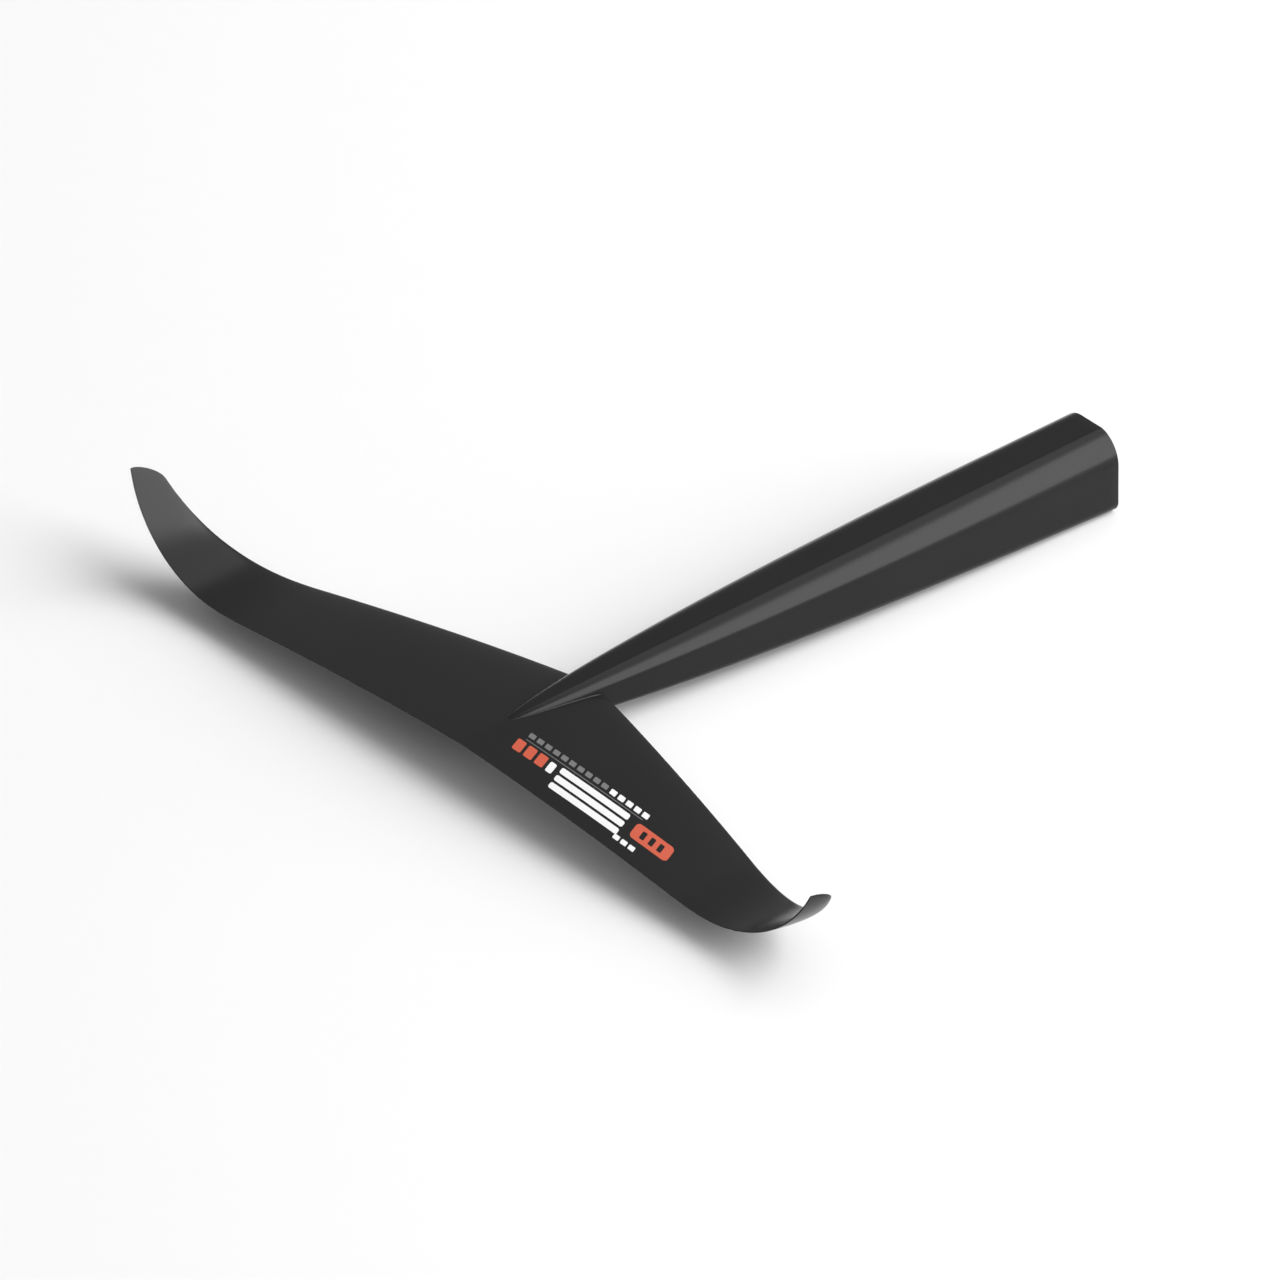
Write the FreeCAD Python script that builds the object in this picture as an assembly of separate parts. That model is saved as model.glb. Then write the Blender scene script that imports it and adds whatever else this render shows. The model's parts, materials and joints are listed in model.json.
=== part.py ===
import FreeCAD, Part
import math
import os

# Tail wing of a hydrofoil with its tail cone, in millimetres.
# Origin: centre of the socket mouth at the front end of the cone.
# +Y points forward out of the mouth, +X along the span to the right, +Z up.

# ---- wing driving dimensions ----
HALF_ARC = 208.1          # root to leading-edge tip, measured along the bent sheet
TIP_SHARE = 1.064         # trailing edge runs past the leading edge's end by this share
LEAD_ROOT_Y = -259.9      # leading edge at the root
TRAIL_ROOT_Y = -328.1     # trailing edge at the root
WING_ROOT_Z = -0.55       # chord line of the root, below the cone's axis
LEAD_SWEEP = 46.0         # how far the leading edge falls back over the half span
LEAD_BOW = 3.85           # extra fall-back that grows with the square of the span
TRAIL_SWEEP = 2.7         # how far the trailing edge falls back over the half span
TRAIL_TUCK = 39.0         # forward tuck of the trailing edge in the winglet
TRAIL_TUCK_START = 0.733  # share of the half span where that tuck begins
APEX_BLEND = 0.03         # share of the half span over which the leading apex is rounded
TIP_ROUND_START = 1.018   # share of the half span where the leading edge turns into the tip edge
TIP_ROUND_POWER = 0.733   # how full the rounded tip edge is
TIP_CHORD = 1.2           # chord that is left at the very tip

ROOT_DROOP = -1.0         # front-view slope of the sheet at the root, degrees
DROOP_RATE = -6.3         # change of that slope over the half span, degrees
WINGLET_START = 0.623     # share of the half span where the sheet starts to turn up
WINGLET_RISE = 90.2       # turn-up angle reached half a half span further out, degrees
WINGLET_POWER = 1.475     # how sharply the turn-up grows
TWIST_LIFT = 0.9          # lift of the trailing edge at the root, fading to none at the tip

UPPER_FULLNESS = 0.024    # greatest height of the nearly flat upper side, share of chord
LOWER_FULLNESS = 0.070    # greatest depth of the full lower side, share of chord
TRAIL_THICKNESS = 0.6     # blunt trailing edge
SKIN_SHARE = 0.14         # skin thickness as a share of the section's thickness
CAVITY_FRONT = 0.045      # chord shares between which the skins stand apart
CAVITY_REAR = 0.80
SPAR_FRONT = 0.26         # chord shares that the spar fills
SPAR_REAR = 0.42
ROOT_BLOCK_HALF_WIDTH = 14.5
SKIN_END_SHARE = 0.80     # share of the half span where the solid winglets begin
WING_STATIONS = 17        # cuts from which the middle of the wing is lofted
BOND_GAP = 0.05           # glue line between neighbouring pieces

# ---- cone driving dimensions ----
CONE_LENGTH = 306.4       # mouth to pointed tail
CONE_HALF_WIDTH = 17.3
CONE_HALF_HEIGHT = 17.6
WIDTH_FULL_SHARE = 0.858  # share of the length, from the tail, where full width is reached
WIDTH_POWER = 0.625
TOP_POWER = 0.564
BOTTOM_POWER = 0.381
SIDE_TOP_SHARE = 0.234    # height where the flat side begins to round over, share of the top's height
SIDE_PULL_SHARE = 0.744   # how far the side's direction carries up into the shoulder
CROWN_PULL_SHARE = 0.584  # how far the crown's direction carries out into it, share of the half width
CROWN_FLAT_SHARE = 0.36   # half width of the flat crown, share of the half width
KEEL_RADIUS = 5.0         # lower corner radius at the mouth
TAIL_SHARE = 0.002        # share of the length left off for the blunt tail point
LOWER_TAIL_SHARE = 0.075  # share of the length where the lower half meets the wing's underside
SHELL_WALL = 2.2

# ---- inside the cone ----
SHELL_CAVITY_REAR_Y = -253.0
ROOT_BULKHEAD_THICKNESS = 4.0
END_PLUG_THICKNESS = 6.0
SOCKET_DEPTH = 86.0
SOCKET_HALF_WIDTH = 12.0
SOCKET_HALF_HEIGHT = 11.0
SOCKET_CORNER = 3.0
LINER_REAR_Y = -92.0

# ---- fasteners ----
SCREW_STATIONS = {"front": -20.0, "rear": -60.0}
SCREW_TIP_Z = -3.0
SCREW_RADIUS = 2.95
SCREW_HEAD_RADIUS = 5.8
SCREW_HEAD_HEIGHT = 3.0
SCREW_HEAD_RECESS = 0.3
HEX_ACROSS_FLATS = 4.0
HEX_DEPTH = 2.0
BUSHING_RADIUS = 7.0
BUSHING_BORE_RADIUS = 3.2
BUSHING_SEAT_GAP = 0.1
BUSHING_FIT_GAP = 0.04


# ---------------------------------------------------------------- wing shape

def sheet_slope(share):
    """Front-view slope of the wing sheet, radians, at a share of the half span."""
    bend = max(0.0, share - WINGLET_START) / 0.5
    degrees = ROOT_DROOP + DROOP_RATE * share + WINGLET_RISE * bend ** WINGLET_POWER
    return math.radians(degrees)


def sheet_point(share):
    """Front-view place (x, z) on the sheet, by adding up short steps from the root."""
    steps = 120
    step = share / steps
    x = 0.0
    z = WING_ROOT_Z
    for number in range(steps):
        slope = sheet_slope((number + 0.5) * step)
        x = x + math.cos(slope) * step * HALF_ARC
        z = z + math.sin(slope) * step * HALF_ARC
    return x, z


def trail_y(share):
    """Trailing edge: almost straight, tucked forward in the winglet."""
    tuck = TRAIL_TUCK * max(0.0, share - TRAIL_TUCK_START) ** 1.5
    return TRAIL_ROOT_Y - TRAIL_SWEEP * share + tuck


def lead_y(share):
    """Leading edge: swept back, apex rounded at the root, full round at the tip."""
    out = math.sqrt(share ** 2 + APEX_BLEND ** 2) - APEX_BLEND
    base = LEAD_ROOT_Y - LEAD_SWEEP * out - LEAD_BOW * out ** 2
    if share <= TIP_ROUND_START:
        return base
    along = min(1.0, (share - TIP_ROUND_START) / (TIP_SHARE - TIP_ROUND_START))
    drop = base - trail_y(share) - TIP_CHORD
    return base - drop * (1.0 - (1.0 - along ** 2) ** TIP_ROUND_POWER)


def thickness_law(fraction):
    """Unit foil thickness: 0 at the nose, 1 at its fullest, thin at the tail."""
    root = 0.2969 * math.sqrt(fraction)
    rest = 0.1260 * fraction + 0.3516 * fraction ** 2
    tail = 0.2843 * fraction ** 3 - 0.1036 * fraction ** 4
    return 10.0 * (root - rest + tail)


def upper_height(chord, fraction):
    return UPPER_FULLNESS * chord * thickness_law(fraction) + TRAIL_THICKNESS / 2 * fraction


def lower_depth(chord, fraction):
    return LOWER_FULLNESS * chord * thickness_law(fraction) + TRAIL_THICKNESS / 2 * fraction


class Station:
    """One cut across the wing, at a signed share of the half span."""

    def __init__(self, signed_share):
        self.side = -1.0 if signed_share < 0 else 1.0
        share = abs(signed_share)
        self.x, self.z = sheet_point(share)
        self.slope = sheet_slope(share) if share > 0 else 0.0
        self.lead = lead_y(share)
        self.chord = self.lead - trail_y(share)
        self.lift = TWIST_LIFT * max(0.0, 1.0 - share)
        self.full = (UPPER_FULLNESS + LOWER_FULLNESS) * self.chord
        self.skin = SKIN_SHARE * self.full

    def place(self, fraction, height):
        """Point at a chord fraction and a height square to the bent sheet."""
        rise = height + self.lift * fraction
        x = self.x - math.sin(self.slope) * rise
        z = self.z + math.cos(self.slope) * rise
        return FreeCAD.Vector(self.side * x, self.lead - self.chord * fraction, z)

    def upper(self, fraction, gap=0.0):
        return self.place(fraction, upper_height(self.chord, fraction) + gap)

    def lower(self, fraction, gap=0.0):
        return self.place(fraction, -lower_depth(self.chord, fraction) - gap)

    def middle(self, fraction, gap=0.0):
        half = (upper_height(self.chord, fraction) - lower_depth(self.chord, fraction)) / 2
        return self.place(fraction, half + gap)

    def inner_upper(self, fraction, gap=0.0):
        return self.upper(fraction, -self.skin - gap)

    def inner_lower(self, fraction, gap=0.0):
        return self.lower(fraction, -self.skin - gap)


def fractions(start, end, count):
    """Chord fractions from start to end, crowded towards the nose."""
    low = math.sqrt(start)
    high = math.sqrt(end)
    return [(low + (high - low) * n / (count - 1)) ** 2 for n in range(count)]


def spline_edge(points):
    curve = Part.BSplineCurve()
    curve.interpolate(points)
    return curve.toShape()


def line_edge(first, last):
    return Part.makeLine(first, last)


def foil_wire(station, gap=0.0):
    """Whole outline: over the top, down the blunt tail, back under to the nose."""
    spread = fractions(0.0, 1.0, 15)
    over = [station.upper(f, gap if f > 0 else 0.0) for f in spread]
    under = [station.lower(f, gap if f > 0 else 0.0) for f in reversed(spread)]
    edges = [spline_edge(over), line_edge(over[-1], under[0]), spline_edge(under)]
    return Part.Wire(edges)


def skin_wire(station, upper):
    """One skin: outer surface, then the mid plane with the cavity taken out of it."""
    gap = BOND_GAP / 2 if upper else -BOND_GAP / 2
    outer_side = station.upper if upper else station.lower
    inner_side = station.inner_upper if upper else station.inner_lower
    outer = [outer_side(f) for f in fractions(0.002, 1.0, 15)]
    inner = [inner_side(f) for f in reversed(fractions(CAVITY_FRONT, CAVITY_REAR, 11))]
    tail = station.middle(1.0, gap)
    rear = station.middle(CAVITY_REAR, gap)
    front = station.middle(CAVITY_FRONT, gap)
    nose = station.middle(0.002, gap)
    edges = [spline_edge(outer), line_edge(outer[-1], tail), line_edge(tail, rear),
             line_edge(rear, inner[0]), spline_edge(inner), line_edge(inner[-1], front),
             line_edge(front, nose), line_edge(nose, outer[0])]
    return Part.Wire(edges)


def filling_wire(station, front, rear):
    """Slice of the space between the skins, from one chord fraction to another."""
    spread = fractions(front, rear, 9)
    over = [station.inner_upper(f, BOND_GAP) for f in spread]
    under = [station.inner_lower(f, BOND_GAP) for f in reversed(spread)]
    edges = [spline_edge(over), line_edge(over[-1], under[0]),
             spline_edge(under), line_edge(under[-1], over[0])]
    return Part.Wire(edges)


def even_shares(start, end, count):
    return [start + (end - start) * n / (count - 1) for n in range(count)]


def middle_shares():
    return even_shares(-SKIN_END_SHARE, SKIN_END_SHARE, WING_STATIONS)


def wing_skin(upper):
    return Part.makeLoft([skin_wire(Station(s), upper) for s in middle_shares()], True, False)


def wing_filling(front, rear):
    wires = [filling_wire(Station(s), front, rear) for s in middle_shares()]
    return Part.makeLoft(wires, True, False)


def span_slice(filling, left, right):
    """The part of a wing filling that lies between two places along the span."""
    block = Part.makeBox(right - left, 200.0, 100.0, FreeCAD.Vector(left, -400.0, -50.0))
    return filling.common(block)


def split_filling(kind, front, rear):
    """Foam to the left, a solid block in the middle, foam to the right."""
    filling = wing_filling(front, rear)
    far = HALF_ARC
    half = ROOT_BLOCK_HALF_WIDTH
    return {
        "core_" + kind + "_left": span_slice(filling, -far, -half - BOND_GAP),
        "root_block_" + kind: span_slice(filling, -half, half),
        "core_" + kind + "_right": span_slice(filling, half + BOND_GAP, far),
    }


def winglet(side):
    """Solid tip: out along the bend, then round the tip edge by even angles."""
    shares = even_shares(SKIN_END_SHARE + 0.0003, TIP_ROUND_START, 8)
    for number in range(1, 8):
        angle = math.radians(85.0 * number / 7)
        reach = (TIP_SHARE - TIP_ROUND_START) * math.sin(angle)
        shares.append(TIP_ROUND_START + reach)
    return Part.makeLoft([foil_wire(Station(side * s)) for s in shares], True, False)


def wing_root_cutter():
    """The wing's middle with the glue line added, for cutting the cone's shells."""
    return Part.makeLoft([foil_wire(Station(s), BOND_GAP) for s in middle_shares()], True, False)


# ---------------------------------------------------------------- cone shape

def cone_size(y, inset):
    """Half width, top and bottom of the cone at a place along its axis."""
    share = 1.0 + y / CONE_LENGTH
    fill = min(1.0, share / WIDTH_FULL_SHARE)
    width = CONE_HALF_WIDTH * (1.0 - (1.0 - fill) ** 2) ** WIDTH_POWER
    top = CONE_HALF_HEIGHT * share ** TOP_POWER
    bottom = -CONE_HALF_HEIGHT * share ** BOTTOM_POWER
    return width - inset, top - inset, bottom + inset


def upper_outline(y, inset, parting):
    """Edges over the top, from the right side of the parting line to the left side."""
    width, top, bottom = cone_size(y, inset)
    side_top = SIDE_TOP_SHARE * top
    crown = CROWN_FLAT_SHARE * width

    def shoulder(side):
        curve = Part.BezierCurve()
        curve.setPoles([FreeCAD.Vector(side * width, y, side_top),
                        FreeCAD.Vector(side * width, y, SIDE_PULL_SHARE * top),
                        FreeCAD.Vector(side * CROWN_PULL_SHARE * width, y, top),
                        FreeCAD.Vector(side * crown, y, top)])
        return curve.toShape()

    return [line_edge(FreeCAD.Vector(width, y, parting), FreeCAD.Vector(width, y, side_top)),
            shoulder(1),
            line_edge(FreeCAD.Vector(crown, y, top), FreeCAD.Vector(-crown, y, top)),
            shoulder(-1),
            line_edge(FreeCAD.Vector(-width, y, side_top), FreeCAD.Vector(-width, y, parting))]


def lower_outline(y, inset, parting):
    """Edges under the keel, from the left side of the parting line to the right side."""
    width, top, bottom = cone_size(y, inset)
    radius = KEEL_RADIUS * width / CONE_HALF_WIDTH
    near = radius * (1.0 - math.sqrt(0.5))

    def corner(start, middle, end):
        places = [FreeCAD.Vector(x, y, z) for x, z in (start, middle, end)]
        return Part.Arc(places[0], places[1], places[2]).toShape()

    return [line_edge(FreeCAD.Vector(-width, y, parting), FreeCAD.Vector(-width, y, bottom + radius)),
            corner((-width, bottom + radius), (-width + near, bottom + near),
                   (-width + radius, bottom)),
            line_edge(FreeCAD.Vector(-width + radius, y, bottom),
                      FreeCAD.Vector(width - radius, y, bottom)),
            corner((width - radius, bottom), (width - near, bottom + near),
                   (width, bottom + radius)),
            line_edge(FreeCAD.Vector(width, y, bottom + radius), FreeCAD.Vector(width, y, parting))]


def cone_stations(rear_share, front_y, count):
    """Places along the axis, crowded towards the pointed tail."""
    front_share = 1.0 + front_y / CONE_LENGTH
    low = math.sqrt(rear_share)
    high = math.sqrt(front_share)
    shares = [(low + (high - low) * n / (count - 1)) ** 2 for n in range(count)]
    return [(share - 1.0) * CONE_LENGTH for share in shares]


def whole_cone(rear_y, front_y, inset, count):
    """Both halves as one solid between two places along the axis."""
    wires = []
    for y in cone_stations(1.0 + rear_y / CONE_LENGTH, front_y, count):
        wires.append(Part.Wire(upper_outline(y, inset, 0.0) + lower_outline(y, inset, 0.0)))
    return Part.makeLoft(wires, True, False)


def half_cone(upper):
    """Solid upper or lower half of the outside shape, tail to mouth."""
    wires = []
    gap = BOND_GAP / 2
    rear = TAIL_SHARE if upper else LOWER_TAIL_SHARE
    for y in cone_stations(rear, 0.0, 13):
        if upper:
            edges = upper_outline(y, 0.0, gap)
        else:
            edges = lower_outline(y, 0.0, -gap)
        ends = (edges[-1].Vertexes[-1].Point, edges[0].Vertexes[0].Point)
        wires.append(Part.Wire(edges + [line_edge(ends[0], ends[1])]))
    return Part.makeLoft(wires, True, False)


def shell_cavity():
    return whole_cone(SHELL_CAVITY_REAR_Y, 0.0, SHELL_WALL, 9)


def cavity_filling():
    """Everything that sits inside the shells, less the glue line."""
    return whole_cone(SHELL_CAVITY_REAR_Y, 0.0, SHELL_WALL + BOND_GAP, 9)


def axis_slice(filling, rear_y, front_y):
    """The part of the cone's filling that lies between two places along its axis."""
    block = Part.makeBox(60.0, front_y - rear_y, 60.0, FreeCAD.Vector(-30.0, rear_y, -30.0))
    return filling.common(block)


def socket_void():
    """Rounded rectangular pocket that takes the fuselage's tenon."""
    box = Part.makeBox(2 * SOCKET_HALF_WIDTH, SOCKET_DEPTH + 2.0, 2 * SOCKET_HALF_HEIGHT,
                       FreeCAD.Vector(-SOCKET_HALF_WIDTH, -SOCKET_DEPTH, -SOCKET_HALF_HEIGHT))
    long_edges = [edge for edge in box.Edges
                  if abs(edge.tangentAt(edge.FirstParameter).y) > 0.99]
    return box.makeFillet(SOCKET_CORNER, long_edges)


# ---------------------------------------------------------------- fasteners

def upright_cylinder(radius, y, low, high):
    return Part.makeCylinder(radius, high - low, FreeCAD.Vector(0, y, low))


def keel_z(y):
    return cone_size(y, 0.0)[2]


def screw_head_z(y):
    """Height of the screw head's flat face, just inside the keel."""
    return keel_z(y) + SCREW_HEAD_RECESS


def screw(y):
    """Countersunk socket screw, head down."""
    face = screw_head_z(y)
    head = Part.makeCone(SCREW_HEAD_RADIUS, SCREW_RADIUS, SCREW_HEAD_HEIGHT,
                         FreeCAD.Vector(0, y, face))
    shank = upright_cylinder(SCREW_RADIUS, y, face + SCREW_HEAD_HEIGHT, SCREW_TIP_Z)
    tip_edge = [edge for edge in shank.Edges if edge.Closed
                and edge.CenterOfMass.z > SCREW_TIP_Z - 0.01]
    shank = shank.makeChamfer(0.6, tip_edge)
    corner_radius = HEX_ACROSS_FLATS / 2 / math.cos(math.pi / 6)
    corners = []
    for number in range(7):
        angle = number * math.pi / 3
        corners.append(FreeCAD.Vector(corner_radius * math.cos(angle),
                                      y + corner_radius * math.sin(angle), face - 1.0))
    recess = Part.Face(Part.makePolygon(corners)).extrude(FreeCAD.Vector(0, 0, 1.0 + HEX_DEPTH))
    return head.fuse(shank).removeSplitter().cut(recess)


def bushing_blank(y, radius):
    return upright_cylinder(radius, y, keel_z(y) - 2.0, -SOCKET_HALF_HEIGHT)


def screw_bushing(y, outside):
    """Steel cup that carries the countersink, flush with keel and socket floor."""
    face = screw_head_z(y)
    blank = bushing_blank(y, BUSHING_RADIUS - BUSHING_FIT_GAP).common(outside)
    bore = upright_cylinder(BUSHING_BORE_RADIUS, y, face - 4.0, 0.0)
    slope = (SCREW_HEAD_RADIUS - SCREW_RADIUS) / SCREW_HEAD_HEIGHT
    mouth_radius = SCREW_HEAD_RADIUS + BUSHING_SEAT_GAP + slope * SCREW_HEAD_HEIGHT
    seat_height = (mouth_radius - BUSHING_BORE_RADIUS) / slope
    seat = Part.makeCone(mouth_radius, BUSHING_BORE_RADIUS, seat_height,
                         FreeCAD.Vector(0, y, face - SCREW_HEAD_HEIGHT))
    entry = upright_cylinder(SCREW_HEAD_RADIUS + BUSHING_SEAT_GAP, y, face - 4.0, face)
    return blank.cut(seat.common(upright_cylinder(20.0, y, face, 0.0))).cut(bore).cut(entry)


# ---------------------------------------------------------------- assembly

def wing_pieces():
    pieces = {
        "wing_upper_skin": wing_skin(True),
        "wing_lower_skin": wing_skin(False),
        "wing_spar": wing_filling(SPAR_FRONT, SPAR_REAR),
        "winglet_left": winglet(-1),
        "winglet_right": winglet(1),
    }
    pieces.update(split_filling("front", CAVITY_FRONT + 0.002, SPAR_FRONT - 0.002))
    pieces.update(split_filling("rear", SPAR_REAR + 0.002, CAVITY_REAR - 0.004))
    return pieces


def cone_pieces():
    wing = wing_root_cutter()
    cavity = shell_cavity()
    upper = half_cone(True).cut(cavity).cut(wing)
    lower = half_cone(False).cut(cavity).cut(wing)
    filling = cavity_filling()
    bulkhead_rear = SHELL_CAVITY_REAR_Y + BOND_GAP
    bulkhead_front = bulkhead_rear + ROOT_BULKHEAD_THICKNESS
    plug_front = LINER_REAR_Y - BOND_GAP
    plug_rear = plug_front - END_PLUG_THICKNESS
    liner = axis_slice(filling, LINER_REAR_Y, 0.0).cut(socket_void())
    pieces = {
        "root_bulkhead": axis_slice(filling, bulkhead_rear, bulkhead_front),
        "cone_foam_core": axis_slice(filling, bulkhead_front + BOND_GAP, plug_rear - BOND_GAP),
        "socket_end_plug": axis_slice(filling, plug_rear, plug_front),
    }
    outside = half_cone(False)
    for name, y in SCREW_STATIONS.items():
        hole = bushing_blank(y, BUSHING_RADIUS)
        lower = lower.cut(hole)
        liner = liner.cut(hole)
        pieces["screw_bushing_" + name] = screw_bushing(y, outside)
        pieces["screw_" + name] = screw(y)
    pieces["cone_upper_shell"] = upper
    pieces["cone_lower_shell"] = lower
    pieces["socket_liner"] = liner
    return pieces


def main_solid(shape):
    """The piece itself, without any sliver that a cut left beside it."""
    solids = sorted(shape.Solids, key=lambda solid: solid.Volume)
    return solids[-1]


def main():
    os.makedirs("parts", exist_ok=True)
    pieces = wing_pieces()
    pieces.update(cone_pieces())
    for name, shape in sorted(pieces.items()):
        solid = main_solid(shape)
        box = solid.BoundBox
        print(name, "solids", len(shape.Solids), "volume", round(solid.Volume, 1),
              "valid", solid.isValid(), "x", round(box.XMin, 1), round(box.XMax, 1),
              "y", round(box.YMin, 1), round(box.YMax, 1),
              "z", round(box.ZMin, 1), round(box.ZMax, 1))
        solid.exportStep("parts/" + name + ".step")


main()
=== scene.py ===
import json
import math

import bmesh
import bpy
import numpy as np
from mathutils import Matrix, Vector


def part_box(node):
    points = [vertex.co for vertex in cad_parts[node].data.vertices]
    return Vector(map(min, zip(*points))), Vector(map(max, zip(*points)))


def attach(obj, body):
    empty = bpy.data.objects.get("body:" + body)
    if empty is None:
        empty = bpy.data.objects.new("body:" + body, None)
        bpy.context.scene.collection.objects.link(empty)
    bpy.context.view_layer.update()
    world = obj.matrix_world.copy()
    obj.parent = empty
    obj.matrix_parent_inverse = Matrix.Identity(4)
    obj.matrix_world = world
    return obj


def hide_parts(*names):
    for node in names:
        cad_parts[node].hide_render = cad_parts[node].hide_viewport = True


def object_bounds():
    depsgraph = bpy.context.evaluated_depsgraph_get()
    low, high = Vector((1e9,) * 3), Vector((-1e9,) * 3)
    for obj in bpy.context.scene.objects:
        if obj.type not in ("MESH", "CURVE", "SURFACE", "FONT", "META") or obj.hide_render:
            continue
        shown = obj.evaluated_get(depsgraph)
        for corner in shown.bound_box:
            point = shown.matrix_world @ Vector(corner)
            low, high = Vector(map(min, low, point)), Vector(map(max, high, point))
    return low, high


# Looks of a hydrofoil tail wing with its tail cone. Shape laws are in millimetres,
# in the part's own frame: origin at the socket mouth, +Y forward, +X right, +Z up.

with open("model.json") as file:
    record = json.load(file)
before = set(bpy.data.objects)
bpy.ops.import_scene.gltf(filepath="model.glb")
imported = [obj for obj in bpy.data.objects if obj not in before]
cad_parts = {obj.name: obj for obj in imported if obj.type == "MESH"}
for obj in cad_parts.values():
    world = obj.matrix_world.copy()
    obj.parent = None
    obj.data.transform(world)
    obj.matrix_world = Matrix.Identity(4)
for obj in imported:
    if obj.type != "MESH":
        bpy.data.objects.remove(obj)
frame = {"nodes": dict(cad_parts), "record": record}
cad_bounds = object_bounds()

MM = 0.001
MAIN = "wing_and_cone"

# The driving dimensions of wing and cone are those of the solids.

# ---- wing ----
HALF_ARC = 208.1
TIP_SHARE = 1.064
LEAD_ROOT_Y = -259.9
TRAIL_ROOT_Y = -328.1
WING_ROOT_Z = -0.55
LEAD_SWEEP = 46.0
LEAD_BOW = 3.85
TRAIL_SWEEP = 2.7
TRAIL_TUCK = 39.0
TRAIL_TUCK_START = 0.733
APEX_BLEND = 0.03
TIP_ROUND_START = 1.018
TIP_ROUND_POWER = 0.733
TIP_CHORD = 1.2
ROOT_DROOP = -1.0
DROOP_RATE = -6.3
WINGLET_START = 0.623
WINGLET_RISE = 90.2
WINGLET_POWER = 1.475
TWIST_LIFT = 0.9
UPPER_FULLNESS = 0.024
LOWER_FULLNESS = 0.070
TRAIL_THICKNESS = 0.6

# ---- cone ----
CONE_LENGTH = 306.4
CONE_HALF_WIDTH = 17.3
CONE_HALF_HEIGHT = 17.6
WIDTH_FULL_SHARE = 0.858
WIDTH_POWER = 0.625
TOP_POWER = 0.564
BOTTOM_POWER = 0.381
SIDE_TOP_SHARE = 0.234
SIDE_PULL_SHARE = 0.744
CROWN_PULL_SHARE = 0.584
CROWN_FLAT_SHARE = 0.36
KEEL_RADIUS = 5.0
TAIL_SHARE = 0.002
SHELL_WALL = 2.2
CAVITY_REAR_Y = -253.0
RIM_ROUND = 0.4
BUSHING_RADIUS = 7.0


# ------------------------------------------------------------ shape laws

# front view of the bent wing sheet: its slope and place at shares of the half span
sheet_shares = np.linspace(0.0, TIP_SHARE, 2001)
sheet_bend = np.maximum(0.0, sheet_shares - WINGLET_START) / 0.5
sheet_rise = WINGLET_RISE * sheet_bend ** WINGLET_POWER
sheet_slopes = np.radians(ROOT_DROOP + DROOP_RATE * sheet_shares + sheet_rise)


def add_up(values):
    """Running sum along the sheet, zero at the root."""
    steps = (values[1:] + values[:-1]) / 2 * np.diff(sheet_shares) * HALF_ARC
    return np.concatenate([[0.0], np.cumsum(steps)])


sheet_x = add_up(np.cos(sheet_slopes))
sheet_z = WING_ROOT_Z + add_up(np.sin(sheet_slopes))


def trail_y(share):
    """Trailing edge: almost straight, tucked forward in the winglet."""
    tuck = TRAIL_TUCK * np.maximum(0.0, share - TRAIL_TUCK_START) ** 1.5
    return TRAIL_ROOT_Y - TRAIL_SWEEP * share + tuck


def lead_y(share):
    """Leading edge: swept back from a rounded apex, then turned round the tip."""
    out = np.sqrt(share ** 2 + APEX_BLEND ** 2) - APEX_BLEND
    base = LEAD_ROOT_Y - LEAD_SWEEP * out - LEAD_BOW * out ** 2
    along = np.clip((share - TIP_ROUND_START) / (TIP_SHARE - TIP_ROUND_START), 0.0, 1.0)
    drop = base - trail_y(share) - TIP_CHORD
    return base - drop * (1.0 - (1.0 - along ** 2) ** TIP_ROUND_POWER)


def thickness_law(fraction):
    """Half thickness of a classic four-digit section, 1 at its greatest."""
    root = 0.2969 * np.sqrt(fraction)
    rest = 0.1260 * fraction + 0.3516 * fraction ** 2
    tail = 0.2843 * fraction ** 3 - 0.1036 * fraction ** 4
    return 10.0 * (root - rest + tail)


def wing_points(share, side, fraction, upper, raised=0.0):
    """Points on the wing's skin, one per entry of the arrays that are passed in."""
    slope = np.interp(share, sheet_shares, sheet_slopes)
    lead = lead_y(share)
    chord = lead - trail_y(share)
    law = thickness_law(fraction)
    if upper:
        height = UPPER_FULLNESS * chord * law + TRAIL_THICKNESS / 2 * fraction + raised
    else:
        height = -LOWER_FULLNESS * chord * law - TRAIL_THICKNESS / 2 * fraction - raised
    rise = height + TWIST_LIFT * np.maximum(0.0, 1.0 - share) * fraction
    x = np.interp(share, sheet_shares, sheet_x) - np.sin(slope) * rise
    z = np.interp(share, sheet_shares, sheet_z) + np.cos(slope) * rise
    y = lead - chord * fraction
    return np.stack([side * x, y, z], axis=-1)


def wing_top_at(x, y, raised=0.0):
    """Point on the upper skin above a place in plan."""
    share = np.interp(np.abs(x), sheet_x, sheet_shares)
    lead = lead_y(share)
    fraction = np.clip((lead - y) / (lead - trail_y(share)), 0.0, 1.0)
    return wing_points(share, np.where(x < 0, -1.0, 1.0), fraction, True, raised)


def cone_size(y, inset=0.0):
    """Half width, top and bottom of the cone's section, drawn in by an inset."""
    share = 1.0 + y / CONE_LENGTH
    fill = min(1.0, share / WIDTH_FULL_SHARE)
    width = CONE_HALF_WIDTH * (1.0 - (1.0 - fill) ** 2) ** WIDTH_POWER
    top = CONE_HALF_HEIGHT * share ** TOP_POWER
    bottom = -CONE_HALF_HEIGHT * share ** BOTTOM_POWER
    return width - inset, top - inset, bottom + inset


SIDE_STEPS = 4
SHOULDER_STEPS = 28
CROWN_STEPS = 6
CORNER_STEPS = 8
KEEL_STEPS = 8


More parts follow.
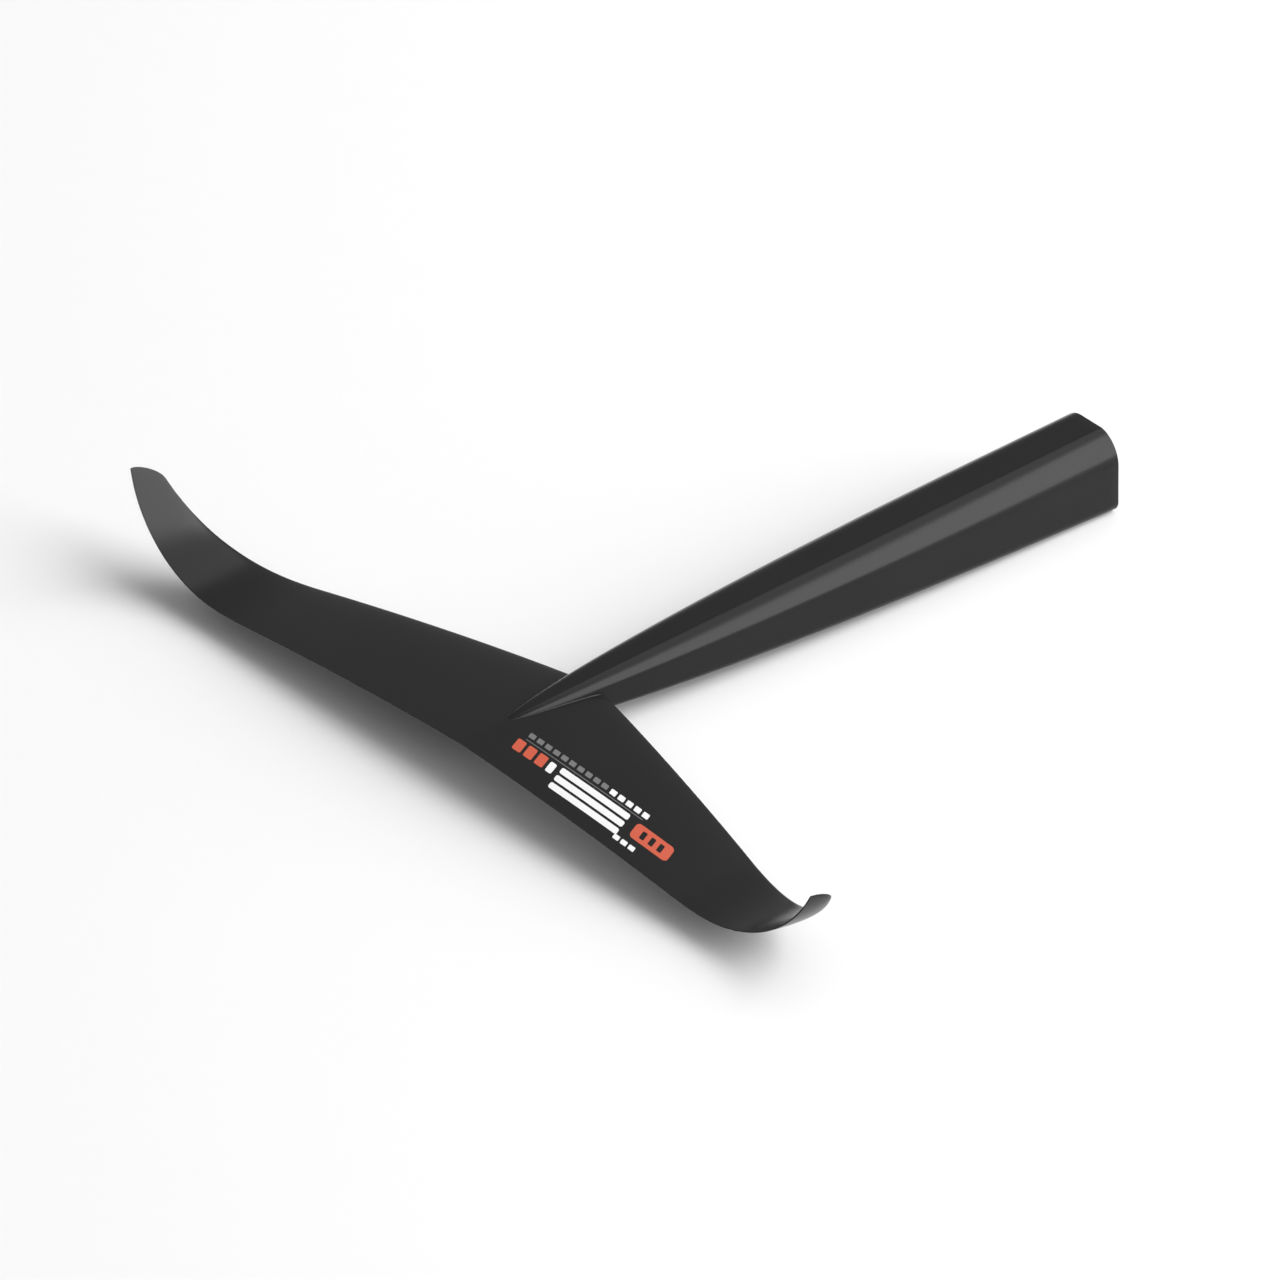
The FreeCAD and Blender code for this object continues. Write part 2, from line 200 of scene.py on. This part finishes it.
def shoulder(width, top):
    """Points (x, z) of the rounded right shoulder, from the flat side up to the flat crown."""
    t = np.linspace(0.0, 1.0, SHOULDER_STEPS + 1)
    pulls = ((1 - t) ** 3, 3 * t * (1 - t) ** 2, 3 * t ** 2 * (1 - t), t ** 3)
    shares_x = (1.0, 1.0, CROWN_PULL_SHARE, CROWN_FLAT_SHARE)
    shares_z = (SIDE_TOP_SHARE, SIDE_PULL_SHARE, 1.0, 1.0)
    x = width * sum(pull * share for pull, share in zip(pulls, shares_x))
    z = top * sum(pull * share for pull, share in zip(pulls, shares_z))
    return x, z


def cone_ring(y, inset=0.0):
    """Closed outline (x, z), from the right side over the top and round by the keel."""
    width, top, bottom = cone_size(y, inset)
    side_top = SIDE_TOP_SHARE * top
    crown = CROWN_FLAT_SHARE * width
    radius = KEEL_RADIUS * width / CONE_HALF_WIDTH
    right = list(zip(*shoulder(width, top)))[:-1]
    over = [(crown * (1 - 2 * n / CROWN_STEPS), top) for n in range(CROWN_STEPS)]
    left = [(-x, z) for x, z in reversed(right)]
    left.insert(0, (-crown, top))
    side = []
    for number in range(1, SIDE_STEPS + 1):
        z = side_top + (bottom + radius - side_top) * number / SIDE_STEPS
        side.append((-width, z))
    corner = []
    for number in range(1, CORNER_STEPS + 1):
        angle = math.pi / 2 * number / CORNER_STEPS
        corner.append((-width + radius - radius * math.cos(angle),
                       bottom + radius - radius * math.sin(angle)))
    keel = []
    for number in range(1, KEEL_STEPS):
        keel.append(((-width + radius) * (1 - 2 * number / KEEL_STEPS), bottom))
    back_corner = [(-x, z) for x, z in reversed(corner)]
    back_side = [(-x, z) for x, z in reversed(side)]
    return right + over + left + side + corner + keel + back_corner + back_side


# ------------------------------------------------------------ mesh helpers

def new_object(name, points, faces, material):
    mesh = bpy.data.meshes.new(name)
    mesh.from_pydata([Vector(p) * MM for p in points], [], faces)
    mesh.validate()
    mesh.update()
    obj = bpy.data.objects.new(name, mesh)
    bpy.context.scene.collection.objects.link(obj)
    mesh.materials.append(material)
    return obj


def smooth(obj, sharp_degrees=32.0):
    """Outward faces, smooth shading, and sharp edges where the surface turns hard."""
    work = bmesh.new()
    work.from_mesh(obj.data)
    bmesh.ops.recalc_face_normals(work, faces=work.faces)
    limit = math.radians(sharp_degrees)
    for face in work.faces:
        face.smooth = True
    for edge in work.edges:
        if len(edge.link_faces) == 2:
            edge.smooth = edge.calc_face_angle(0.0) < limit
    work.to_mesh(obj.data)
    work.free()


def rings_to_faces(ring_count, ring_size, closed=True):
    """Quads between rings that follow one another."""
    faces = []
    last = ring_size if closed else ring_size - 1
    for ring in range(ring_count - 1):
        for number in range(last):
            after = (number + 1) % ring_size
            start = ring * ring_size
            faces.append((start + number, start + after,
                          start + ring_size + after, start + ring_size + number))
    return faces


def capped_faces(ring_count, ring_size):
    """Quads between closed rings, and one face over each end."""
    faces = rings_to_faces(ring_count, ring_size)
    faces.append(tuple(range(ring_size)))
    faces.append(tuple(range((ring_count - 1) * ring_size, ring_count * ring_size)))
    return faces


def cut_away(obj, cutters):
    """Takes closed cutter meshes out of a closed mesh, then removes the cutters."""
    for cutter in cutters:
        step = obj.modifiers.new("cut", "BOOLEAN")
        step.operation = "DIFFERENCE"
        step.solver = "EXACT"
        step.object = cutter
    graph = bpy.context.evaluated_depsgraph_get()
    mesh = bpy.data.meshes.new_from_object(obj.evaluated_get(graph))
    obj.modifiers.clear()
    obj.data = mesh
    for cutter in cutters:
        bpy.data.objects.remove(cutter)


# ------------------------------------------------------------ materials

class Nodes:
    """Small helper for wiring one material."""

    def __init__(self, name):
        self.material = bpy.data.materials.new(name)
        self.material.use_nodes = True
        self.tree = self.material.node_tree
        self.shader = self.tree.nodes["Principled BSDF"]
        self.place = self.tree.nodes.new("ShaderNodeTexCoord").outputs["Object"]

    def add(self, kind, **settings):
        node = self.tree.nodes.new(kind)
        for key, value in settings.items():
            setattr(node, key, value)
        return node

    def link(self, source, target):
        self.tree.links.new(source, target)

    def turned(self, degrees):
        """The place, turned about the upright axis."""
        mapping = self.add("ShaderNodeMapping")
        mapping.inputs["Rotation"].default_value = (0.0, 0.0, math.radians(degrees))
        self.link(self.place, mapping.inputs["Vector"])
        return mapping.outputs["Vector"]

    def noise(self, size_m, detail=3.0):
        """Soft random pattern whose blotches are about this size."""
        node = self.add("ShaderNodeTexNoise")
        node.inputs["Scale"].default_value = 1.0 / size_m
        node.inputs["Detail"].default_value = detail
        self.link(self.place, node.inputs["Vector"])
        return node.outputs["Fac"]

    def bands(self, width_m, vector):
        """Rounded ridges across the first axis of a turned vector."""
        node = self.add("ShaderNodeTexWave", wave_profile="SIN", bands_direction="X")
        node.inputs["Scale"].default_value = 0.05 * 2 * math.pi / width_m
        self.link(vector, node.inputs["Vector"])
        return node.outputs["Fac"]

    def math(self, operation, first, second):
        node = self.add("ShaderNodeMath", operation=operation)
        for number, value in enumerate((first, second)):
            if isinstance(value, (int, float)):
                node.inputs[number].default_value = value
            else:
                self.link(value, node.inputs[number])
        return node.outputs[0]

    def spread(self, source, low, high):
        """Maps 0..1 to low..high."""
        node = self.add("ShaderNodeMapRange")
        node.inputs["To Min"].default_value = low
        node.inputs["To Max"].default_value = high
        self.link(source, node.inputs["Value"])
        return node.outputs["Result"]

    def colours(self, source, first, second):
        """Base colour that runs from the first to the second as the source goes 0..1."""
        node = self.add("ShaderNodeMix", data_type="RGBA")
        node.inputs[6].default_value = (*first, 1.0)
        node.inputs[7].default_value = (*second, 1.0)
        self.link(source, node.inputs[0])
        self.link(node.outputs[2], self.shader.inputs["Base Color"])

    def roughness(self, source, low, high):
        self.link(self.spread(source, low, high), self.shader.inputs["Roughness"])

    def bump(self, source, height_m, strength):
        node = self.add("ShaderNodeBump")
        node.inputs["Distance"].default_value = height_m
        node.inputs["Strength"].default_value = strength
        self.link(source, node.inputs["Height"])
        self.link(node.outputs["Normal"], self.shader.inputs["Normal"])


def carbon_weave(nodes, tow_m):
    """Two crossed sets of tows as one 0..1 pattern."""
    one = nodes.bands(tow_m, nodes.turned(45.0))
    two = nodes.bands(tow_m, nodes.turned(-45.0))
    return nodes.math("MULTIPLY", one, two)


def satin_carbon():
    nodes = Nodes("satin_carbon")
    cloud = nodes.noise(0.05, 2.0)
    grain = nodes.noise(0.0006, 2.0)
    peel = nodes.noise(0.0035, 1.0)
    nodes.colours(cloud, (0.0085, 0.0085, 0.0087), (0.0110, 0.0110, 0.0112))
    nodes.roughness(nodes.math("MULTIPLY", nodes.math("ADD", grain, cloud), 0.5), 0.18, 0.28)
    nodes.bump(nodes.math("ADD", grain, peel), 0.000002, 0.2)
    nodes.shader.inputs["IOR"].default_value = 1.25
    return nodes.material


def bare_laminate(name, dark, light, rough):
    nodes = Nodes(name)
    weave = carbon_weave(nodes, 0.003)
    grain = nodes.noise(0.0008)
    nodes.colours(weave, dark, light)
    nodes.roughness(grain, rough - 0.07, rough + 0.10)
    nodes.bump(nodes.math("ADD", weave, grain), 0.00004, 0.5)
    return nodes.material


def foam():
    nodes = Nodes("core_foam")
    cell = nodes.add("ShaderNodeTexVoronoi")
    cell.inputs["Scale"].default_value = 1.0 / 0.0007
    nodes.link(nodes.place, cell.inputs["Vector"])
    nodes.colours(cell.outputs["Distance"], (0.62, 0.50, 0.28), (0.74, 0.64, 0.42))
    nodes.roughness(cell.outputs["Distance"], 0.8, 0.95)
    nodes.bump(cell.outputs["Distance"], 0.0002, 0.7)
    return nodes.material


def stainless():
    nodes = Nodes("stainless_steel")
    lathe = nodes.noise(0.0004, 2.0)
    smear = nodes.noise(0.006, 3.0)
    nodes.colours(smear, (0.52, 0.53, 0.54), (0.66, 0.66, 0.67))
    nodes.roughness(nodes.math("MULTIPLY", nodes.math("ADD", lathe, smear), 0.5), 0.22, 0.42)
    nodes.bump(lathe, 0.00001, 0.4)
    nodes.shader.inputs["Metallic"].default_value = 1.0
    return nodes.material


def ink(name, colour, darker):
    nodes = Nodes(name)
    speck = nodes.noise(0.0007, 3.0)
    nodes.colours(speck, darker, colour)
    nodes.roughness(speck, 0.30, 0.46)
    nodes.bump(speck, 0.000006, 0.3)
    return nodes.material


def resin():
    nodes = Nodes("bond_resin")
    cloud = nodes.noise(0.003)
    nodes.colours(cloud, (0.012, 0.012, 0.0125), (0.016, 0.016, 0.0165))
    nodes.roughness(cloud, 0.42, 0.55)
    nodes.bump(cloud, 0.00002, 0.3)
    nodes.shader.inputs["IOR"].default_value = 1.3
    return nodes.material


def floor_paint():
    nodes = Nodes("studio_floor")
    cloud = nodes.noise(0.4)
    nodes.colours(cloud, (0.66, 0.66, 0.66), (0.67, 0.67, 0.67))
    nodes.roughness(cloud, 0.9, 0.95)
    return nodes.material


CARBON = satin_carbon()
SPAR_CARBON = bare_laminate("bare_carbon", (0.012, 0.012, 0.013), (0.05, 0.05, 0.052), 0.5)
LAMINATE = bare_laminate("solid_laminate", (0.016, 0.016, 0.017), (0.030, 0.030, 0.031), 0.45)
FOAM = foam()
STEEL = stainless()
RESIN = resin()
WHITE_INK = ink("white_ink", (0.66, 0.66, 0.66), (0.61, 0.61, 0.61))
GREY_INK = ink("grey_ink", (0.13, 0.13, 0.134), (0.105, 0.105, 0.109))
ORANGE_INK = ink("orange_ink", (0.46, 0.070, 0.030), (0.42, 0.062, 0.027))
SLOT_MATERIALS = {"satin_carbon": CARBON, "bare_carbon": SPAR_CARBON,
                  "solid_laminate": LAMINATE, "core_foam": FOAM, "stainless_steel": STEEL}


def dress_cad_nodes():
    """Gives each CAD node that stays its procedural material."""
    for part in frame["record"]["subparts"]:
        mesh = frame["nodes"][part["node"]].data
        mesh.materials.clear()
        mesh.materials.append(SLOT_MATERIALS[part["material_slot"]])


# ------------------------------------------------------------ wing and cone

CHORD_STEPS = 44
CHORD_CROWDING = 0.2
SPAN_STEPS = 96
TIP_STEPS = 14


def wing():
    """The whole outside of the wing as rings from the left tip to the right tip."""
    flat = np.linspace(0.0, TIP_ROUND_START, SPAN_STEPS)
    turn = np.linspace(0.0, math.pi / 2, TIP_STEPS + 1)[1:]
    tip = TIP_ROUND_START + (TIP_SHARE - TIP_ROUND_START) * np.sin(turn)
    half = np.concatenate([flat, tip])
    signed = np.concatenate([-half[:0:-1], half])
    ease = np.linspace(0.0, 1.0, CHORD_STEPS)
    turned = 1.0 - np.cos(math.pi / 2 * ease * ease ** CHORD_CROWDING)
    fraction = 0.5 * ease ** 2 + 0.5 * turned
    fraction = fraction / fraction[-1]
    points = []
    for value in signed:
        side = -1.0 if value < 0 else 1.0
        share = np.full(CHORD_STEPS, abs(value))
        over = wing_points(share, side, fraction, True)
        under = wing_points(share, side, fraction, False)
        points.extend(over[::-1])
        points.extend(under[1:])
    faces = capped_faces(len(signed), 2 * CHORD_STEPS - 1)
    obj = new_object("wing_shell", points, faces, CARBON)
    smooth(obj)
    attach(obj, MAIN)
    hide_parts("wing_upper_skin", "wing_lower_skin", "winglet_left", "winglet_right")


LENGTH_STEPS = 110
RIM_STEPS = 4
INSIDE_STEPS = 8
HOLE_SIDES = 96
HOLE_LENGTH = 12.0
HOLE_OVERRUN = 1.0


def cone_stations():
    """Pairs of y and inset: tail to mouth, round the rim, then back along the inside."""
    tail = TAIL_SHARE ** 0.5
    stations = []
    for number in range(LENGTH_STEPS):
        share = (tail + (1 - tail) * number / LENGTH_STEPS) ** 2
        stations.append((min((share - 1.0) * CONE_LENGTH, -RIM_ROUND), 0.0))
    for number in range(RIM_STEPS + 1):
        angle = math.pi / 2 * number / RIM_STEPS
        y = -RIM_ROUND + RIM_ROUND * math.sin(angle)
        stations.append((y, RIM_ROUND * (1 - math.cos(angle))))
    for number in range(INSIDE_STEPS + 1):
        stations.append((CAVITY_REAR_Y * number / INSIDE_STEPS, SHELL_WALL))
    return stations


def bushing_hole(node):
    """Cylinder that clears one bushing's seat in the keel."""
    low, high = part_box(node)
    middle = (low + high) / 2
    height = high.z + (HOLE_OVERRUN - HOLE_LENGTH / 2) * MM
    bpy.ops.mesh.primitive_cylinder_add(vertices=HOLE_SIDES, radius=BUSHING_RADIUS * MM,
                                        depth=HOLE_LENGTH * MM,
                                        location=(middle.x, middle.y, height))
    return bpy.context.object


def cone():
    """Outside of the cone: a shell with an open mouth and two holes for the bushings."""
    stations = cone_stations()
    points = []
    for y, inset in stations:
        points.extend((x, y, z) for x, z in cone_ring(y, inset))
    faces = capped_faces(len(stations), len(cone_ring(0.0)))
    obj = new_object("cone_shell", points, faces, CARBON)
    cut_away(obj, [bushing_hole("screw_bushing_front"), bushing_hole("screw_bushing_rear")])
    smooth(obj, sharp_degrees=12.0)
    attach(obj, MAIN)
    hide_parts("cone_upper_shell", "cone_lower_shell")


def section_x(y, height):
    """Half width of the cone's outside at a height above its axis."""
    width, top, _ = cone_size(y)
    x, z = shoulder(width, top)
    if height >= top:
        return 0.0
    return float(np.interp(height, z, x))


BEAD_SIZE = 0.4
BEAD_REAR_Y = -302.5
BEAD_FRONT_Y = LEAD_ROOT_Y - 2.2
BEAD_STATIONS = 70
BEAD_CROWDING = 1.3
BEAD_ROUNDS = 12
BEAD_LEAST_X = 0.2
BEAD_TAPER_STATIONS = 6
BEAD_END_SHARE = 0.35
BEAD_ARC_STEPS = 5
BEAD_LIFT = 0.01
BEAD_SINK = 0.3


def bead_path():
    """Places (x, y) where the cone's right side meets the wing's upper skin."""
    path = []
    for number in range(BEAD_STATIONS):
        along = (number / (BEAD_STATIONS - 1)) ** BEAD_CROWDING
        y = BEAD_REAR_Y + (BEAD_FRONT_Y - BEAD_REAR_Y) * along
        x = 3.0
        for _ in range(BEAD_ROUNDS):
            x = section_x(y, float(wing_top_at(x, y)[2]))
        if x > BEAD_LEAST_X:
            path.append((x, y))
    return path


def bead_ring(place, before, after, radius):
    """Concave quarter round on the skin, closed by one point that is sunk into the wing."""
    x, y = place
    along = np.array(after) - np.array(before)
    along = along / np.linalg.norm(along)
    out = np.array([along[1], -along[0]])
    ring = []
    for step in range(BEAD_ARC_STEPS + 1):
        angle = math.pi / 2 * step / BEAD_ARC_STEPS
        reach = radius * (1 - math.sin(angle))
        height = radius * (1 - math.cos(angle))
        foot = wing_top_at(x + out[0] * reach, y + out[1] * reach)
        ring.append((foot[0], foot[1], foot[2] + height + BEAD_LIFT))
    inner = wing_top_at(x - out[0] * BEAD_SINK, y - out[1] * BEAD_SINK)
    ring.append((inner[0], inner[1], inner[2] - BEAD_SINK))
    return ring


def bond_bead():
    """Resin fillet where the cone's foot meets the wing, one piece a side."""
    path = bead_path()
    last = len(path) - 1
    rings = []
    for number, place in enumerate(path):
        from_end = min(number, last - number) / BEAD_TAPER_STATIONS
        radius = BEAD_SIZE * min(1.0, BEAD_END_SHARE + from_end)
        before = path[max(0, number - 1)]
        after = path[min(last, number + 1)]
        rings.append(bead_ring(place, before, after, radius))
    for side, name in ((1, "bond_bead_right"), (-1, "bond_bead_left")):
        points = [(side * x, y, z) for ring in rings for x, y, z in ring]
        obj = new_object(name, points, capped_faces(len(rings), len(rings[0])), RESIN)
        smooth(obj, sharp_degrees=50.0)
        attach(obj, MAIN)


# ------------------------------------------------------------ printed graphics

INK_LIFT = 0.05
INK_SINK = 0.05
INK_STEP = 1.0
SLANT = -0.465
GRAPHIC_ORIGIN_Y = -297.15


def stripe(name, x_start, x_end, y_front, y_rear, radius, material, lift=INK_LIFT):
    """Thin printed bar with rounded ends that follows the wing's upper skin."""
    columns = max(10, int((x_end - x_start) / INK_STEP))
    rows = max(3, int((y_front - y_rear) / INK_STEP) + 1)
    middle = (y_front + y_rear) / 2
    half = (y_front - y_rear) / 2
    ease = 0.5 - 0.5 * np.cos(np.linspace(0.0, math.pi, columns + 1))
    top = []
    for x in x_start + (x_end - x_start) * ease:
        near = min(x - x_start, x_end - x)
        short = 0.0
        if near < radius:
            short = radius - math.sqrt(max(0.0, radius ** 2 - (radius - near) ** 2))
        for row in range(rows + 1):
            y = middle + (half - short) * (1 - 2 * row / rows)
            top.append((x + SLANT * (y - middle), y))
    plan = np.array(top)
    raised = wing_top_at(plan[:, 0], plan[:, 1], lift)
    sunk = wing_top_at(plan[:, 0], plan[:, 1], -INK_SINK)
    size = rows + 1
    count = len(plan)
    faces = rings_to_faces(columns + 1, size, closed=False)
    loop = [n * size for n in range(columns + 1)]
    loop += [columns * size + n for n in range(1, size)]
    loop += [n * size + rows for n in range(columns - 1, -1, -1)]
    loop += [n for n in range(rows - 1, 0, -1)]
    for number, here in enumerate(loop):
        there = loop[(number + 1) % len(loop)]
        faces.append((here, there, there + count, here + count))
    obj = new_object(name, np.concatenate([raised, sunk]), faces, material)
    smooth(obj, sharp_degrees=40.0)
    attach(obj, MAIN)


def row(prefix, count, start, pitch, length, front, rear, radius, material):
    """Equal bars side by side; front and rear are counted from the graphics' own origin."""
    for number in range(count):
        x = start + number * pitch
        stripe(f"{prefix}_{number + 1}", x, x + length, GRAPHIC_ORIGIN_Y + front,
               GRAPHIC_ORIGIN_Y + rear, radius, material)


def graphics():
    """Plain bars, a line and a badge: no letters."""
    # count, first x, pitch, length, front, rear, corner radius
    row("print_grey_dash", 10, 14.0, 4.9, 3.5, -5.4, -8.2, 0.4, GREY_INK)
    row("print_white_dash", 5, 63.6, 4.9, 3.5, -5.6, -8.6, 0.4, WHITE_INK)
    row("print_thin_line", 1, 15.5, 0.0, 71.0, -9.8, -10.2, 0.15, GREY_INK)
    row("print_orange_bar", 3, 14.6, 6.7, 5.0, -11.5, -18.2, 0.8, ORANGE_INK)
    row("print_short_bar", 1, 35.0, 0.0, 3.6, -12.2, -18.2, 0.8, WHITE_INK)
    for number in range(3):
        front = GRAPHIC_ORIGIN_Y - 11.5 - 4.8 * number
        start = 40.5 + 2.2 * number
        stripe(f"print_white_stripe_{number + 1}", start, start + 41.5, front, front - 3.4,
               1.0, WHITE_INK)
    badge = (GRAPHIC_ORIGIN_Y - 12.2, GRAPHIC_ORIGIN_Y - 21.0)
    stripe("print_badge", 88.6, 111.2, badge[0], badge[1], 2.2, ORANGE_INK)
    for number in range(3):
        start = 93.4 + 5.2 * number
        stripe(f"print_badge_slot_{number + 1}", start, start + 2.6, badge[0] - 2.2,
               badge[1] + 2.2, 0.5, CARBON, lift=INK_LIFT * 2)
    row("print_foot_dash", 3, 87.0, 4.6, 3.4, -24.2, -26.8, 0.4, WHITE_INK)


# ------------------------------------------------------------ screws

SCREW_HEAD_RADIUS = 5.8
SCREW_RADIUS = 2.95
SCREW_HEAD_HEIGHT = 3.0
THREAD_PITCH = 1.0
THREAD_DEPTH = 0.45
HEX_HALF = 2.0
HEX_DEPTH = 2.0
HEX_BEVEL = 0.15
HEAD_EDGE_IN = 0.25
HEAD_EDGE_UP = 0.2
NECK_FILLET = 0.1
THREAD_START = 0.4
THREAD_END = 0.6
THREAD_STEPS = 8
TIP_TAPER = 0.8
CAP_RADIUS = 0.05
ROUND_STEPS = 48


def hexagon(angle):
    """Distance from the axis to the socket's side."""
    return HEX_HALF / math.cos((angle % (math.pi / 3)) - math.pi / 6)


def thread(angle, height):
    """Distance from the axis to the threaded shank."""
    phase = (height / THREAD_PITCH - angle / (2 * math.pi)) % 1.0
    ridge = 1.0 - abs(2 * phase - 1.0)
    return SCREW_RADIUS - THREAD_DEPTH * (1.0 - ridge)


def screw_profile(face, tip):
    """Heights, each with its radius law, from the socket's floor over the head to the tip."""
    neck = face + SCREW_HEAD_HEIGHT
    profile = [
        (face + HEX_DEPTH, lambda angle: CAP_RADIUS),
        (face + HEX_DEPTH, hexagon),
        (face + HEX_BEVEL, hexagon),
        (face, lambda angle: hexagon(angle) + HEX_BEVEL),
        (face, lambda angle: SCREW_HEAD_RADIUS - HEAD_EDGE_IN),
        (face + HEAD_EDGE_UP, lambda angle: SCREW_HEAD_RADIUS),
        (neck - NECK_FILLET, lambda angle: SCREW_RADIUS + NECK_FILLET),
        (neck + THREAD_START, lambda angle: SCREW_RADIUS - THREAD_DEPTH),
    ]
    height = neck + THREAD_START
    while height < tip - THREAD_END:
        height += THREAD_PITCH / THREAD_STEPS
        profile.append((height, lambda angle, level=height: thread(angle, level)))
    profile.append((tip, lambda angle: SCREW_RADIUS - TIP_TAPER))
    profile.append((tip, lambda angle: CAP_RADIUS))
    return profile


def screw(node, body):
    """Countersunk socket screw with a real helical thread, head down."""
    low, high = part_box(node)
    axis_y = (low.y + high.y) / 2 / MM
    profile = screw_profile(low.z / MM, high.z / MM)
    points = []
    for height, radius_at in profile:
        for number in range(ROUND_STEPS):
            angle = 2 * math.pi * number / ROUND_STEPS
            radius = radius_at(angle)
            points.append((radius * math.cos(angle), axis_y + radius * math.sin(angle), height))
    obj = new_object(node + "_threaded", points, capped_faces(len(profile), ROUND_STEPS), STEEL)
    smooth(obj, sharp_degrees=35.0)
    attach(obj, body)
    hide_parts(node)


# ------------------------------------------------------------ studio

FLOOR_SIZE = 40.0
FLOOR_GAP = 0.00005
WORLD_STRENGTH = 0.42
LIGHT_DISTANCE = 4.5
LIGHT_TARGET = Vector((0.0, -0.2, 0.0))
SENSOR_WIDTH = 36.0
CAMERA_AZIMUTH = 49.65
CAMERA_ELEVATION = 32.2
CAMERA_DISTANCE = 23.0
VIEW_WIDTH = 506.2 * MM
CAMERA_TARGET = Vector((-13.9, -223.15, -1.24)) * MM


def floor():
    """Pale plane just under the part's lowest point."""
    height = cad_bounds[0].z - FLOOR_GAP
    bpy.ops.mesh.primitive_plane_add(size=FLOOR_SIZE, location=(0, 0, height))
    plane = bpy.context.object
    plane.name = "studio_floor"
    plane.data.materials.append(floor_paint())


def direction(azimuth, elevation):
    """Unit vector to a place in the sky. Azimuth 0 is behind the tail, 90 is to the right."""
    a = math.radians(azimuth)
    e = math.radians(elevation)
    return Vector((math.sin(a) * math.cos(e), -math.cos(a) * math.cos(e), math.sin(e)))


def softbox(name, azimuth, elevation, width, height, radiance):
    """Area light that faces the part. Radiance is in the unit of the world's strength."""
    light = bpy.data.lights.new(name, "AREA")
    light.shape = "RECTANGLE"
    light.size = width
    light.size_y = height
    light.energy = 4 * radiance * width * height
    lamp = bpy.data.objects.new(name, light)
    aim = direction(azimuth, elevation)
    lamp.location = LIGHT_TARGET + aim * LIGHT_DISTANCE
    lamp.rotation_mode = "QUATERNION"
    lamp.rotation_quaternion = aim.to_track_quat("Z", "Y")
    bpy.context.scene.collection.objects.link(lamp)


def studio_light():
    """White surroundings, one large light in front of the wing and two fainter ones round it."""
    world = bpy.data.worlds.new("studio")
    world.use_nodes = True
    background = world.node_tree.nodes["Background"]
    background.inputs["Color"].default_value = (1.0, 1.0, 1.0, 1.0)
    background.inputs["Strength"].default_value = WORLD_STRENGTH
    bpy.context.scene.world = world
    # azimuth, elevation, width, height, radiance
    softbox("front_side", 134.0, 29.5, 5.4, 4.9, 3.3)
    softbox("front_side_wide", 137.0, 31.0, 6.3, 5.3, 1.6)
    softbox("overhead_front", 190.0, 57.0, 3.4, 2.6, 1.2)


def camera():
    """Very long lens from far away, so that parallel edges stay nearly parallel."""
    data = bpy.data.cameras.new("camera")
    data.sensor_width = SENSOR_WIDTH
    data.lens = CAMERA_DISTANCE * data.sensor_width / VIEW_WIDTH
    data.clip_start = 0.1
    data.clip_end = 60.0
    view = bpy.data.objects.new("camera", data)
    back = direction(CAMERA_AZIMUTH, CAMERA_ELEVATION)
    view.location = CAMERA_TARGET + back * CAMERA_DISTANCE
    view.rotation_mode = "QUATERNION"
    view.rotation_quaternion = (-back).to_track_quat("-Z", "Y")
    bpy.context.scene.collection.objects.link(view)
    bpy.context.scene.camera = view


dress_cad_nodes()
wing()
cone()
bond_bead()
graphics()
screw("screw_front", "front_screw")
screw("screw_rear", "rear_screw")
floor()
studio_light()
camera()
bpy.context.scene.view_settings.view_transform = "Standard"
